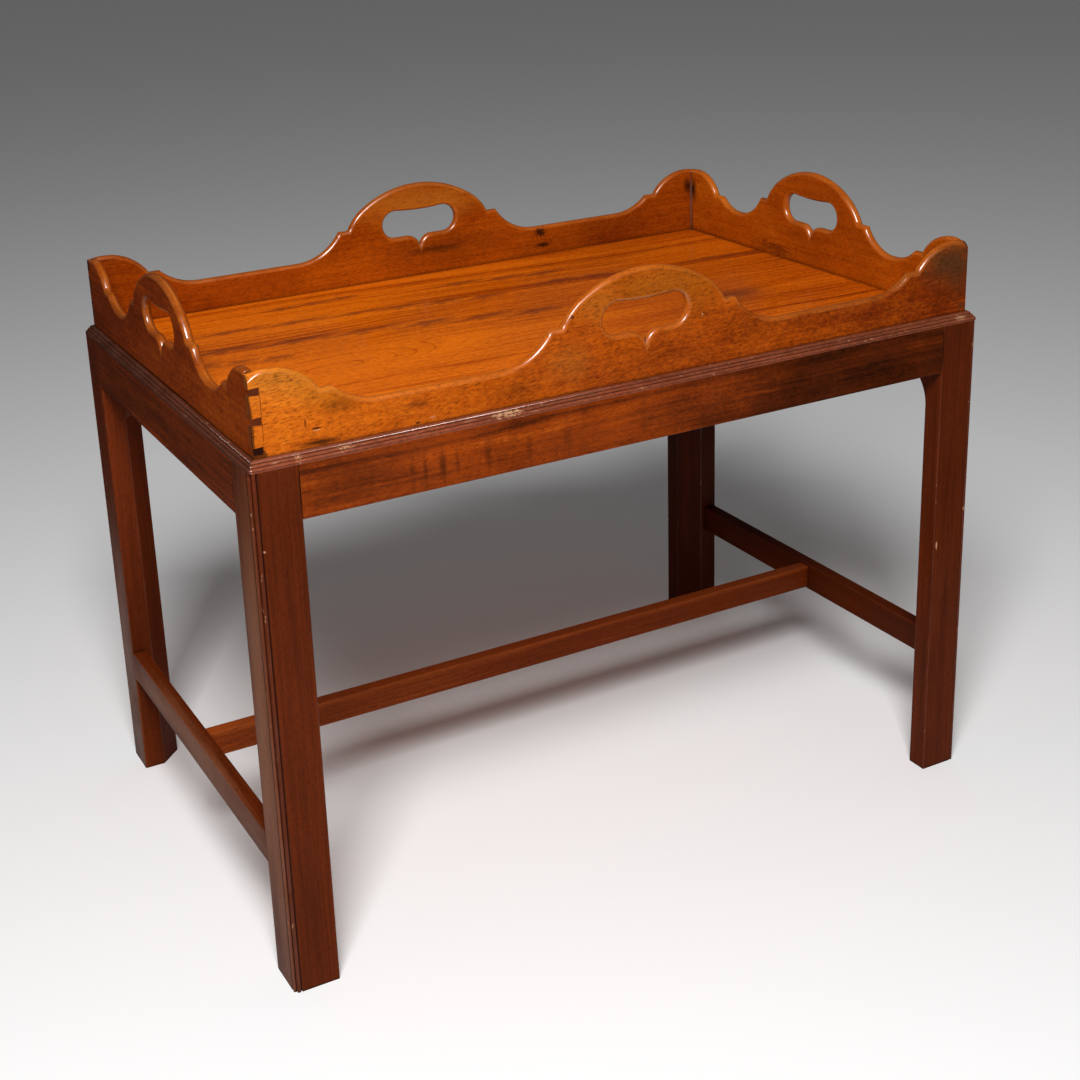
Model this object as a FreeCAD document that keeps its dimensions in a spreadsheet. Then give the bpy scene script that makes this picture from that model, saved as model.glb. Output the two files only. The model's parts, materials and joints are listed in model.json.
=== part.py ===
import FreeCAD, Part

import math
import os
import re

import Sketcher

# Driving dimensions, lengths in millimetres and angles in degrees
SIZES = {
    "stand_width": 780,
    "stand_depth": 500,
    "stand_height": 504,
    "leg_size": 44,
    "leg_chamfer": 22,
    "runout_length": 38,
    "runout_gap": 2,
    "bead_radius": 1.9,
    "bead_quirk": 0.7,
    "rail_height": 49,
    "rail_thickness": 22,
    "rail_tenon_length": 24,
    "rail_tenon_thickness": 9,
    "rail_tenon_shoulder": 6,
    "lip_width": 8.5,
    "lip_height": 9,
    "lip_base": 1,
    "lip_step": 0.4,
    "lip_flat": 1.3,
    "reed_radius": 2.1,
    "stretcher_height": 31,
    "stretcher_thickness": 15,
    "stretcher_top": 145,
    "stretcher_tenon_length": 20,
    "stretcher_tenon_thickness": 7,
    "stretcher_tenon_shoulder": 4,
    "middle_height": 27,
    "middle_thickness": 14,
    "middle_top": 143,
    "middle_tenon_length": 9,
    "middle_tenon_thickness": 6,
    "middle_tenon_shoulder": 4,
    "mortise_slack": 1,
    "tray_clearance": 0.5,
    "gallery_thickness": 9,
    "floor_height": 7,
    "floor_thickness": 6,
    "tongue_length": 4,
    "tongue_thickness": 3,
    "tongue_drop": 1.5,
    "groove_slack": 0.5,
    "shelf_width": 11.5,
    "arch_shelf_height": 69.5,
    "arch_rise": 43.5,
    "crown_angle": 34,
    "shoulder_angle": 64,
    "corner_shelf_height": 58,
    "corner_rise": 24.5,
    "corner_flat": 18,
    "low_offset": 4.5,
    "long_arch_half": 87.5,
    "long_low_height": 41,
    "long_low_run": 114,
    "long_corner_width": 63,
    "end_arch_half": 82,
    "end_low_height": 45,
    "end_low_run": 4,
    "end_corner_width": 58.5,
    "hole_length": 91,
    "hole_height": 31,
    "hole_base": 53.5,
    "hole_dip": 1.7,
    "notch_depth": 11.4,
    "notch_half_width": 15.3,
    "pin_height": 7,
    "pin_taper": 0.6,
    "pin_spacing": 25.5,
    "first_pin_height": 15,
}

# Counts of like details
LIP_REEDS = 3
DOVETAIL_PINS = 3

# Turns that carry a front piece round to the other sides, and a front-left leg to the other corners
SIDE_TURNS = {"front": 0, "right": 90, "back": 180, "left": 270}
CORNER_TURNS = {"front_left": 0, "front_right": 90, "back_right": 180, "back_left": 270}

# Sizes that follow from the driving ones
RAIL_BOTTOM = "(stand_height - rail_height)"
TRAY_WIDTH = "(stand_width - 2 * (lip_width + tray_clearance))"
TRAY_DEPTH = "(stand_depth - 2 * (lip_width + tray_clearance))"
FLOOR_WIDTH = f"({TRAY_WIDTH} - 2 * gallery_thickness)"
FLOOR_DEPTH = f"({TRAY_DEPTH} - 2 * gallery_thickness)"
TONGUE_TOP = "(floor_height - tongue_drop)"
GROOVE_DEPTH = "(tongue_length + groove_slack)"

doc = FreeCAD.newDocument("butlers_tray_table")
sheet = doc.addObject("Spreadsheet::Sheet", "sizes")
for row, (alias, value) in enumerate(SIZES.items(), start=1):
    sheet.set(f"A{row}", str(value))
    sheet.setAlias(f"A{row}", alias)
doc.recompute()


def sized(text):
    """Point each size named in a formula at its cell of the sheet."""
    return re.sub(r"[a-z_]+", lambda word: "sizes." + word[0] if word[0] in SIZES else word[0], text)


def number(text):
    """The present value of a formula."""
    return float(sheet.evalExpression(sized(text)))


def bind(item, path, text):
    """Tie a property to a formula of the sizes."""
    item.setExpression(path, sized(text))


def arc_between(start, end, radius, side):
    """The lesser arc from start to end that bulges to the left of the way (side 1) or the right (-1)."""
    way = end - start
    left = FreeCAD.Vector(-way.y, way.x, 0).normalize()
    reach = math.sqrt(max(radius ** 2 - way.Length ** 2 / 4, 0))
    centre = (start + end) * 0.5 - left * (side * reach)
    first, last = (end, start) if side > 0 else (start, end)
    begin = math.atan2(first.y - centre.y, first.x - centre.x)
    finish = math.atan2(last.y - centre.y, last.x - centre.x)
    if finish < begin:
        finish += 2 * math.pi
    return Part.ArcOfCircle(Part.Circle(centre, FreeCAD.Vector(0, 0, 1), radius), begin, finish)


def place_vertex(sketch, edge, vertex, corner):
    """Dimension one corner of an outline from the sketch's origin."""
    for kind, axis, text in zip(("DistanceX", "DistanceY"), (-2, -1), corner):
        value = number(text)
        if abs(value) < 1e-9:
            sketch.addConstraint(Sketcher.Constraint("PointOnObject", edge, vertex, axis))
        elif value > 0:
            index = sketch.addConstraint(Sketcher.Constraint(kind, -1, 1, edge, vertex, value))
            bind(sketch, f"Constraints[{index}]", text)
        else:
            index = sketch.addConstraint(Sketcher.Constraint(kind, edge, vertex, -1, 1, -value))
            bind(sketch, f"Constraints[{index}]", f"-({text})")


def draw(sketch, corners, arcs):
    """Add a closed outline; arcs gives the radius and side of its round edges, by their first corners."""
    points = [FreeCAD.Vector(number(x), number(y), 0) for x, y in corners]
    ends = []
    for index, start in enumerate(points):
        finish = points[(index + 1) % len(points)]
        if index in arcs:
            radius, side = arcs[index]
            edge = sketch.addGeometry(arc_between(start, finish, number(radius), side))
            ends.append((edge, 2, 1) if side > 0 else (edge, 1, 2))
            constraint = sketch.addConstraint(Sketcher.Constraint("Radius", edge, number(radius)))
            bind(sketch, f"Constraints[{constraint}]", radius)
        else:
            edge = sketch.addGeometry(Part.LineSegment(start, finish))
            ends.append((edge, 1, 2))
    for corner, here, before in zip(corners, ends, ends[-1:] + ends[:-1]):
        sketch.addConstraint(Sketcher.Constraint("Coincident", before[0], before[2], here[0], here[1]))
        place_vertex(sketch, here[0], here[1], corner)


def rectangle(x_low, x_high, y_low, y_high):
    """An outline: its corners, and no arcs."""
    return [(x_low, y_low), (x_high, y_low), (x_high, y_high), (x_low, y_high)], {}


def both_halves(half, arcs, tip=None):
    """Mirror half of an outline, and its arcs, in the vertical axis; tip is a last corner on that axis."""
    middle = [tip] if tip else []
    whole = half + middle + [(f"-({x})", y) for x, y in reversed(half)]
    whole_arcs = dict(arcs)
    for first, arc in arcs.items():
        whole_arcs[len(whole) - 2 - first] = arc
    return whole, whole_arcs


def new_body(label):
    body = doc.addObject("PartDesign::Body", label)
    body.Label = label
    return body


def seat(body, turn, x, y, z):
    """Turn a body about the vertical and bind its place."""
    body.Placement = FreeCAD.Placement(FreeCAD.Vector(), FreeCAD.Rotation(FreeCAD.Vector(0, 0, 1), turn))
    for axis, text in zip("xyz", (x, y, z)):
        bind(body, f"Placement.Base.{axis}", text)


def seat_at_side(body, side, width, depth, height):
    """Put a piece that was drawn for the front at one side of a rectangle."""
    x = {"right": f"{width} / 2", "left": f"-{width} / 2"}.get(side, "0")
    y = {"back": f"{depth} / 2", "front": f"-{depth} / 2"}.get(side, "0")
    seat(body, SIDE_TURNS[side], x, y, height)


def new_sketch(body, name, plane, outlines, offset="0"):
    """Draw outlines on one of the body's origin planes, moved along its normal."""
    sketch = body.newObject("Sketcher::SketchObject", name)
    sketch.AttachmentSupport = (next(item for item in body.Origin.OriginFeatures if item.Role == plane), "")
    sketch.MapMode = "FlatFace"
    bind(sketch, "AttachmentOffset.Base.z", offset)
    for corners, arcs in outlines:
        draw(sketch, corners, arcs)
    return sketch


def pad(body, sketch, length, side_type="One side", backward=False):
    feature = body.newObject("PartDesign::Pad", sketch.Name + "_pad")
    feature.Profile = sketch
    feature.SideType = side_type
    feature.Reversed = backward
    bind(feature, "Length", length)


def pocket(body, sketch, depth, backward=False):
    feature = body.newObject("PartDesign::Pocket", sketch.Name + "_pocket")
    feature.Profile = sketch
    feature.Reversed = backward
    bind(feature, "Length", depth)


def pocket_through(body, sketch):
    feature = body.newObject("PartDesign::Pocket", sketch.Name + "_pocket")
    feature.Profile = sketch
    feature.Type = "ThroughAll"
    feature.SideType = "Symmetric"


def tenon_limits(stock, tenon):
    """The two faces of a tenon centred in a thickness."""
    return f"({stock} - {tenon}) / 2", f"({stock} + {tenon}) / 2"


# Legs, drawn from the outer corner of the front-left one
def leg_section():
    """A square with a double bead and its quirks worked on the outer corner."""
    far = "bead_radius * (2 + sqrt(2))"
    centre = "bead_radius * (1 + sqrt(2))"
    valley = "bead_radius * (1 + sqrt(2) / 2)"
    width = f"({far} + bead_quirk)"
    corners = [
        ("leg_size", "0"),
        ("leg_size", "leg_size"),
        ("0", "leg_size"),
        ("0", width),
        ("bead_radius", width),
        ("bead_radius", far),
        ("0", centre),
        (valley, valley),
        (centre, "0"),
        (far, "bead_radius"),
        (width, "bead_radius"),
        (width, "0"),
    ]
    return corners, {first: ("bead_radius", -1) for first in (5, 6, 7, 8)}


def leg_mortise(body, name, face, limits, bottom, top, tenon_length):
    """Sink a mortise into the leg's inner face across X or across Y."""
    outline = [rectangle(*limits, bottom, top)]
    depth = f"{tenon_length} + mortise_slack"
    if face == "x":
        pocket(body, new_sketch(body, name, "YZ_Plane", outline, "leg_size"), depth)
    else:
        pocket(body, new_sketch(body, name, "XZ_Plane", outline, "-leg_size"), depth, backward=True)


def make_leg(corner, x, y, stretcher_face):
    body = new_body("leg_" + corner)
    pad(body, new_sketch(body, "section", "XY_Plane", [leg_section()]), "stand_height")

    edge = "leg_size * sqrt(2)"
    cut_depth = "leg_chamfer / sqrt(2)"
    flat = f"{edge} - {cut_depth}"
    clear = f"{edge} + leg_chamfer"
    stop = f"{RAIL_BOTTOM} - runout_gap"
    runout_radius = f"(runout_length ^ 2 + ({cut_depth}) ^ 2) / (2 * {cut_depth})"
    chamfer = [(flat, "0"), (flat, f"{stop} - runout_length"), (edge, stop), (clear, stop), (clear, "0")]
    sketch = new_sketch(body, "chamfer", "XZ_Plane", [(chamfer, {1: (runout_radius, 1)})])
    diagonal = FreeCAD.Rotation(FreeCAD.Vector(0, 1, 0), 45)
    sketch.AttachmentOffset = FreeCAD.Placement(FreeCAD.Vector(), diagonal)
    pocket_through(body, sketch)

    rail_limits = tenon_limits("rail_thickness", "rail_tenon_thickness")
    for face in ("x", "y"):
        leg_mortise(body, "rail_mortise_" + face, face, rail_limits, f"{RAIL_BOTTOM} + rail_tenon_shoulder",
                    "stand_height - rail_tenon_shoulder", "rail_tenon_length")
    leg_mortise(body, "stretcher_mortise", stretcher_face,
                tenon_limits("stretcher_thickness", "stretcher_tenon_thickness"),
                "stretcher_top - stretcher_height + stretcher_tenon_shoulder",
                "stretcher_top - stretcher_tenon_shoulder", "stretcher_tenon_length")
    seat(body, CORNER_TURNS[corner], x, y, "0")
    return body


# Bars with a tenon at each end, drawn along X with their outer face at y = 0
def make_bar(label, span, name):
    """A rail or stretcher whose section and tenons take the sizes that start with its name."""
    body = new_body(label)
    section = rectangle("0", f"{name}_thickness", "0", f"{name}_height")
    pad(body, new_sketch(body, "section", "YZ_Plane", [section]), span, "Symmetric")
    tenon = rectangle(*tenon_limits(f"{name}_thickness", f"{name}_tenon_thickness"),
                      f"{name}_tenon_shoulder", f"{name}_height - {name}_tenon_shoulder")
    length = f"{span} + 2 * {name}_tenon_length"
    pad(body, new_sketch(body, "tenon", "YZ_Plane", [tenon]), length, "Symmetric")
    return body


def make_rail(side, span):
    body = make_bar("rail_" + side, f"{span} - 2 * leg_size", "rail")
    seat_at_side(body, side, "stand_width", "stand_depth", RAIL_BOTTOM)
    return body


def make_side_stretcher(side):
    """A stretcher between the two legs of one end, with a mortise for the middle one."""
    body = make_bar("stretcher_" + side, "stand_depth - 2 * leg_size", "stretcher")
    half = "middle_tenon_thickness / 2"
    top = "(stretcher_height - (stretcher_top - middle_top) - middle_tenon_shoulder)"
    bottom = f"{top} - (middle_height - 2 * middle_tenon_shoulder)"
    mortise = rectangle(f"-{half}", half, bottom, top)
    sketch = new_sketch(body, "middle_mortise", "XZ_Plane", [mortise], "-stretcher_thickness")
    pocket(body, sketch, "middle_tenon_length + mortise_slack", backward=True)
    seat_at_side(body, side, "stand_width", "stand_depth", "stretcher_top - stretcher_height")
    return body


def make_middle_stretcher():
    body = make_bar("stretcher_middle", "stand_width - 2 * stretcher_thickness", "middle")
    seat(body, 0, "0", "-middle_thickness / 2", "middle_top - middle_height")
    return body


# Reeded lip round the top of the stand, which holds the tray in place
def lip_section():
    """Reeds on a slope from a step in the outer face up to a narrow flat."""
    run = "(lip_width - lip_step - lip_flat)"
    rise = "(lip_height - lip_step - lip_base)"
    flat_start = ("lip_width - lip_flat", "lip_height")
    corners = [flat_start, ("lip_width", "lip_height"), ("lip_width", "0"), ("0", "0"), ("0", "lip_base")]
    first_reed = len(corners)
    for reed in range(LIP_REEDS + 1):
        share = f"{reed} / {LIP_REEDS}"
        corners.append((f"lip_step + {run} * {share}", f"lip_base + {rise} * {share}"))
    return corners, {first_reed + reed: ("reed_radius", 1) for reed in range(LIP_REEDS)}


def make_lip(side, span):
    body = new_body("lip_" + side)
    pad(body, new_sketch(body, "section", "YZ_Plane", [lip_section()]), span, "Symmetric")
    end = f"{span} / 2"
    mitre = [(end, "0"), (end, "lip_width"), (f"{end} - lip_width", "lip_width")]
    other_mitre = [(f"-({x})", y) for x, y in mitre]
    pocket_through(body, new_sketch(body, "mitres", "XY_Plane", [(mitre, {}), (other_mitre, {})]))
    seat_at_side(body, side, "stand_width", "stand_depth", "stand_height")
    return body


# Tray, its boards drawn along X with their outer face at y = 0 and their lower edge at z = 0
def arch_radii(half):
    """Crown and shoulder radii of a handle's arch, from its half span, rise and two angles."""
    crown = "crown_angle"
    shoulder = "shoulder_angle"
    cosines = f"(cos({crown}) - cos({shoulder}))"
    sines = f"(sin({shoulder}) - sin({crown}))"
    scale = f"(sin({crown}) * {cosines} - (1 - cos({crown})) * {sines})"
    crown_radius = f"(({half} * {cosines} - arch_rise * {sines}) / {scale})"
    shoulder_radius = f"((arch_rise * sin({crown}) - {half} * (1 - cos({crown}))) / {scale})"
    return crown_radius, shoulder_radius


def tangent_radius(run, rise):
    """Radius of an arc that leaves a level line and rises by one size over the other."""
    return f"((({run}) ^ 2 + ({rise}) ^ 2) / (2 * ({rise})))"


def gallery_outline(name, board_end, corner):
    """A gallery board: handle arch, shelf, hollow, shelf and corner crest, the same on both halves."""
    half = f"{name}_arch_half"
    low = f"{name}_low_height"
    crown_radius, shoulder_radius = arch_radii(half)
    crest = "(arch_shelf_height + arch_rise)"
    inner_shelf = f"({half} + shelf_width)"
    crest_foot = f"({corner} - {name}_corner_width)"
    outer_shelf = f"({crest_foot} - shelf_width)"
    low_middle = f"(({inner_shelf} + {outer_shelf}) / 2 + low_offset)"
    low_start = f"({low_middle} - {name}_low_run / 2)"
    low_end = f"({low_middle} + {name}_low_run / 2)"
    crest_start = f"({corner} - corner_flat)"
    corner_top = "(corner_shelf_height + corner_rise)"
    corners = [
        (f"{crown_radius} * sin(crown_angle)", f"{crest} - {crown_radius} * (1 - cos(crown_angle))"),
        (half, "arch_shelf_height"),
        (inner_shelf, "arch_shelf_height"),
        (low_start, low),
        (low_end, low),
        (outer_shelf, "corner_shelf_height"),
        (crest_foot, "corner_shelf_height"),
        (crest_start, corner_top),
        (board_end, corner_top),
        (board_end, "0"),
    ]
    arcs = {
        0: (shoulder_radius, 1),
        2: (tangent_radius(f"{low_start} - {inner_shelf}", f"arch_shelf_height - {low}"), -1),
        4: (tangent_radius(f"{outer_shelf} - {low_end}", f"corner_shelf_height - {low}"), -1),
        6: (tangent_radius(f"{crest_start} - {crest_foot}", "corner_rise"), 1),
    }
    whole, whole_arcs = both_halves(corners, arcs)
    whole_arcs[len(whole) - 1] = (crown_radius, 1)
    return whole, whole_arcs


def hand_hole_outline():
    """Round ends, a top edge that dips a little and a bottom edge notched to a point."""
    radius = "(hole_height / 2)"
    end_centre = f"(hole_length / 2 - {radius})"
    middle = f"(hole_base + {radius})"
    dip_radius = f"(({end_centre} ^ 2 + hole_dip ^ 2) / (2 * hole_dip) - {radius})"
    share = f"{radius} / ({dip_radius} + {radius})"
    dip_rise = f"({dip_radius} + {radius} - hole_dip)"
    half = [
        (f"{end_centre} * (1 - {share})", f"{middle} + {dip_rise} * {share}"),
        ("hole_length / 2", middle),
        (end_centre, "hole_base"),
        ("notch_half_width", "hole_base"),
    ]
    arcs = {
        0: (radius, 1),
        1: (radius, 1),
        3: (tangent_radius("notch_half_width", "notch_depth"), -1),
    }
    whole, whole_arcs = both_halves(half, arcs, ("0", "hole_base - notch_depth"))
    whole_arcs[len(whole) - 1] = (dip_radius, -1)
    return whole, whole_arcs


def pin_outlines(narrow, wide):
    """The dovetail pins of one corner, narrow at the tray's outer face."""
    outlines = []
    for pin in range(DOVETAIL_PINS):
        centre = f"first_pin_height + {pin} * pin_spacing"
        half = "pin_height / 2"
        corners = [
            (narrow, f"{centre} - {half} + pin_taper"),
            (wide, f"{centre} - {half}"),
            (wide, f"{centre} + {half}"),
            (narrow, f"{centre} + {half} - pin_taper"),
        ]
        outlines.append((corners, {}))
    return outlines


def make_gallery(side, name, board_end, corner, groove_end):
    """A board with its hand-hole and the groove that holds the tray's bottom."""
    body = new_body("gallery_" + side)
    outline = gallery_outline(name, board_end, corner)
    pad(body, new_sketch(body, "outline", "XZ_Plane", [outline]), "gallery_thickness", backward=True)
    pocket_through(body, new_sketch(body, "hand_hole", "XZ_Plane", [hand_hole_outline()]))
    groove = rectangle(f"-({groove_end})", groove_end, f"{TONGUE_TOP} - tongue_thickness", TONGUE_TOP)
    sketch = new_sketch(body, "groove", "XZ_Plane", [groove], "-gallery_thickness")
    pocket(body, sketch, GROOVE_DEPTH, backward=True)
    seat_at_side(body, side, TRAY_WIDTH, TRAY_DEPTH, "stand_height")
    return body


def make_long_gallery(side):
    """Front or back board, with tails cut by the sockets for the pins."""
    corner = f"{TRAY_WIDTH} / 2"
    body = make_gallery(side, "long", corner, corner, f"{FLOOR_WIDTH} / 2 + {GROOVE_DEPTH}")
    for way in ("", "-"):
        sockets = pin_outlines(f"{way}({corner})", f"{way}({corner} - gallery_thickness)")
        pocket_through(body, new_sketch(body, "sockets", "XZ_Plane", sockets))
    return body


def make_end_gallery(side):
    """Left or right board, with pins that reach the outer faces of the long boards."""
    board_end = f"{FLOOR_DEPTH} / 2"
    body = make_gallery(side, "end", board_end, f"{TRAY_DEPTH} / 2", board_end)
    pins = pin_outlines("0", "gallery_thickness")
    for start in (board_end, f"-{TRAY_DEPTH} / 2"):
        pad(body, new_sketch(body, "pins", "YZ_Plane", pins, start), "gallery_thickness")
    return body


def make_tray_bottom():
    """The floor, level with the inside of the boards, and the tongue round it that fills their grooves."""
    body = new_body("tray_bottom")
    half_width = f"{FLOOR_WIDTH} / 2"
    half_depth = f"{FLOOR_DEPTH} / 2"
    floor = rectangle(f"-{half_width}", half_width, f"-{half_depth}", half_depth)
    start = "floor_height - floor_thickness"
    pad(body, new_sketch(body, "floor", "XY_Plane", [floor], start), "floor_thickness")
    tongue_x = f"({half_width} + tongue_length)"
    tongue_y = f"({half_depth} + tongue_length)"
    tongue = rectangle(f"-{tongue_x}", tongue_x, f"-{tongue_y}", tongue_y)
    start = f"{TONGUE_TOP} - tongue_thickness"
    pad(body, new_sketch(body, "tongue", "XY_Plane", [tongue], start), "tongue_thickness")
    seat(body, 0, "0", "0", "stand_height")
    return body


pieces = [
    make_leg("front_left", "-stand_width / 2", "-stand_depth / 2", "y"),
    make_leg("front_right", "stand_width / 2", "-stand_depth / 2", "x"),
    make_leg("back_right", "stand_width / 2", "stand_depth / 2", "y"),
    make_leg("back_left", "-stand_width / 2", "stand_depth / 2", "x"),
]
for side in SIDE_TURNS:
    span = "stand_width" if side in ("front", "back") else "stand_depth"
    pieces.append(make_rail(side, span))
    pieces.append(make_lip(side, span))
pieces += [make_side_stretcher("left"), make_side_stretcher("right"), make_middle_stretcher()]
pieces += [make_tray_bottom(), make_long_gallery("front"), make_long_gallery("back")]
pieces += [make_end_gallery("left"), make_end_gallery("right")]
doc.recompute()

# Nothing is written unless every feature and every piece came out whole
for item in doc.Objects:
    if "Invalid" in item.State or "Error" in item.State:
        raise RuntimeError(f"{item.Label} failed: {item.State}")
    if item.TypeId == "PartDesign::Pocket" and item.Shape.Volume >= item.BaseFeature.Shape.Volume:
        raise RuntimeError(f"{item.Label} cuts nothing")
for piece in pieces:
    if piece.Shape.isNull() or not piece.Shape.isValid() or len(piece.Shape.Solids) != 1:
        raise RuntimeError(f"{piece.Label} isn't one valid solid")

os.makedirs("parts", exist_ok=True)
for piece in pieces:
    piece.Shape.exportStep(f"parts/{piece.Label}.step")
    print(f"{piece.Label}: {piece.Shape.Volume / 1000:.1f} cm3")
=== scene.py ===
# Butler's tray on its stand: rounded edges, polished mahogany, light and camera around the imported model.
import json
import math

import bmesh
import bpy
from mathutils import Matrix, Vector

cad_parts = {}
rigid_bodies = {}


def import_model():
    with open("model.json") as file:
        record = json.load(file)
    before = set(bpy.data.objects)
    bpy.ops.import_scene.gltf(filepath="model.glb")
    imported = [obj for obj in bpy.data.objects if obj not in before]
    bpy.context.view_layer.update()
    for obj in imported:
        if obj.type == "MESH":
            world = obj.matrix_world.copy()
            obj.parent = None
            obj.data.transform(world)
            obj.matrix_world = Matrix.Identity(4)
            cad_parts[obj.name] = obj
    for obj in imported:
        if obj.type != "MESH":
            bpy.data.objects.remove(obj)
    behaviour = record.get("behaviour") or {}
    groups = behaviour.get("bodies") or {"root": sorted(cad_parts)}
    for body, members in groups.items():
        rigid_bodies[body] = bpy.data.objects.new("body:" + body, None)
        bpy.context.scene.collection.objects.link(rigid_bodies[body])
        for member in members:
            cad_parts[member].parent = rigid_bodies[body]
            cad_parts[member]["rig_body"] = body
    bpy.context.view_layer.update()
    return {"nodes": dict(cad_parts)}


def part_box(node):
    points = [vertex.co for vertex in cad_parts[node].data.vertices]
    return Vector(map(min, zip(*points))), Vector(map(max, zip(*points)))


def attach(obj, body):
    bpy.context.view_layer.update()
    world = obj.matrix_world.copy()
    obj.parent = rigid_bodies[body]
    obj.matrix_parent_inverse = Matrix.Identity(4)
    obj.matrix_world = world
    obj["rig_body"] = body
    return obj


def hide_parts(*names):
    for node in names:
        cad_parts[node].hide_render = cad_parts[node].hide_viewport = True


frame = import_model()

MM = 0.001
LONG_BOARDS = ("gallery_front", "gallery_back")
END_BOARDS = ("gallery_left", "gallery_right")
BOARDS = LONG_BOARDS + END_BOARDS
RAILS = ("rail_front", "rail_right", "rail_back", "rail_left")
LIPS = ("lip_front", "lip_right", "lip_back", "lip_left")
LEGS = ("leg_front_left", "leg_front_right", "leg_back_right", "leg_back_left")
STRETCHERS = ("stretcher_left", "stretcher_right", "stretcher_middle")
ALONG_X = LONG_BOARDS + ("rail_front", "rail_back", "lip_front", "lip_back", "stretcher_middle",
                         "tray_bottom")


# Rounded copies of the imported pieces
WELD = 0.001 * MM
NEAR = 0.01 * MM
FLAT_ANGLE = math.radians(0.5)
SHARP_ANGLE = math.radians(38)
BOARD_ROUND = 3.6 * MM
BAR_ROUND = 0.9 * MM
ROUND_STEPS = 5
BOARD_FOOT = 15 * MM
JOINT_DEPTH = 10 * MM
CORNER_TOP = 4 * MM
CORNER_REACH = 15 * MM
CORNER_DEPTH = 12 * MM
CORNER_CUTS = 5
FRONT_DROP = 7 * MM
BACK_DROP = 3 * MM
LIP_ROUND = 4 * MM
LIP_CUTS = 5
LONG_EDGE = 30 * MM
WIDE_FACE = 5 * MM
UNDER_LIP = 0.1 * MM
EDGE_FACING = 0.5
# Faces that hands rub; on the boards also the narrow faces of the shaped top and hand-hole, painted lighter
# as if lit from above
WORN_AND_LIT_LAYER = "worn_edge"
ROUND_WEAR_AND_LIGHT = 0.5
END_LAYER = "end_grain"


def axis_of(name):
    """The axis that a level piece runs along."""
    return 0 if name in ALONG_X else 1


def corner_height(bm, name):
    """The height of a board's flat top at its ends."""
    along = axis_of(name)
    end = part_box(name)[1][along] - JOINT_DEPTH
    return max(v.co.z for v in bm.verts if abs(v.co[along]) > end)


def board_edges(bm, name):
    """The arrises of a board's shaped top and of its hand-hole, but not of its joints, groove or foot."""
    low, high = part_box(name)
    along = axis_of(name)
    faces = (low[1 - along], high[1 - along])
    end = high[along] - JOINT_DEPTH
    corner_low = corner_height(bm, name) - CORNER_TOP
    picked = []
    for edge in bm.edges:
        middle = (edge.verts[0].co + edge.verts[1].co) / 2
        on_face = any(all(abs(v.co[1 - along] - face) < NEAR for v in edge.verts) for face in faces)
        lowest = corner_low if abs(middle[along]) > end else low.z + BOARD_FOOT
        if on_face and middle.z > lowest and edge.calc_face_angle(0) > SHARP_ANGLE:
            picked.append(edge)
    return picked


def wide(face):
    """True where a face is wide for its length, so not a strip of a bead or a curve."""
    return face.calc_area() / max(edge.calc_length() for edge in face.edges) > WIDE_FACE


def bar_edges(bm, name):
    """The long arrises between wide faces that run along a piece, apart from those under a lip."""
    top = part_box("rail_front")[1].z - UNDER_LIP
    along = 2 if name in LEGS else axis_of(name)
    picked = []
    for edge in bm.edges:
        first, second = (v.co for v in edge.verts)
        if (abs(first[along] - second[along]) > LONG_EDGE and edge.calc_face_angle(0) > SHARP_ANGLE
                and all(wide(face) for face in edge.link_faces) and min(first.z, second.z) < top):
            picked.append(edge)
    return picked


def no_edges(bm, name):
    """A piece whose edges stay as they are."""
    return []


def flag_faces(bm, name, rubbed_and_lit, ends):
    """Marks the faces that hands rub and those that show end grain. On the boards every narrow face of the
    shaped top and the hand-hole counts as rubbed, so that it is painted lighter as if lit from above.
    """
    low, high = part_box(name)
    for face in bm.faces:
        middle = face.calc_center_median()
        if name in LEGS + LIPS:
            face[rubbed_and_lit] = 0 if wide(face) else 1
        elif name in BOARDS and abs(face.normal[1 - axis_of(name)]) < EDGE_FACING:
            at_end = abs(middle[axis_of(name)]) > high[axis_of(name)] - NEAR
            face[ends] = 1 if at_end else 0
            face[rubbed_and_lit] = 1 if middle.z > low.z + BOARD_FOOT and not at_end else 0


def cut_near_ends(bm, along, end, depth, cuts):
    """Cuts across a piece near both of its ends, so that its corners can be bent."""
    normal = Vector((1, 0, 0)) if along == 0 else Vector((0, 1, 0))
    for step in range(1, cuts + 1):
        for side in (-1, 1):
            place = normal * side * (end - depth * step / cuts)
            everything = bm.verts[:] + bm.edges[:] + bm.faces[:]
            bmesh.ops.bisect_plane(bm, geom=everything, dist=WELD, plane_co=place, plane_no=normal)


def wear_board_corners(bm, name):
    """Lowers a board's top where the tray's corners have been rubbed round."""
    tray = Vector((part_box("gallery_front")[1].x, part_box("gallery_left")[1].y))
    top = corner_height(bm, name)
    cut_near_ends(bm, axis_of(name), tray[axis_of(name)], CORNER_REACH, CORNER_CUTS)
    for v in bm.verts:
        away = math.hypot(tray.x - abs(v.co.x), tray.y - abs(v.co.y)) / CORNER_REACH
        share = (v.co.z - top) / CORNER_DEPTH + 1
        if away < 1 and share > 0:
            v.co.z -= (FRONT_DROP if v.co.y < 0 else BACK_DROP) * (1 - away) ** 2 * share


def round_lip_corners(bm, name):
    """Bends a lip's mitred ends round the stand's corners."""
    along = axis_of(name)
    low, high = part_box(name)
    end = high[along]
    outside = max(abs(low[1 - along]), abs(high[1 - along]))
    cut_near_ends(bm, along, end, LIP_ROUND, LIP_CUTS)
    for v in bm.verts:
        arm = LIP_ROUND - (outside - abs(v.co[1 - along]))
        reach = LIP_ROUND - (end - abs(v.co[along]))
        if arm > WELD and reach > 0:
            turn = math.pi / 4 * reach / arm
            v.co[along] = math.copysign(end - LIP_ROUND + arm * math.sin(turn), v.co[along])
            v.co[1 - along] = math.copysign(outside - LIP_ROUND + arm * math.cos(turn), v.co[1 - along])


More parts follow.
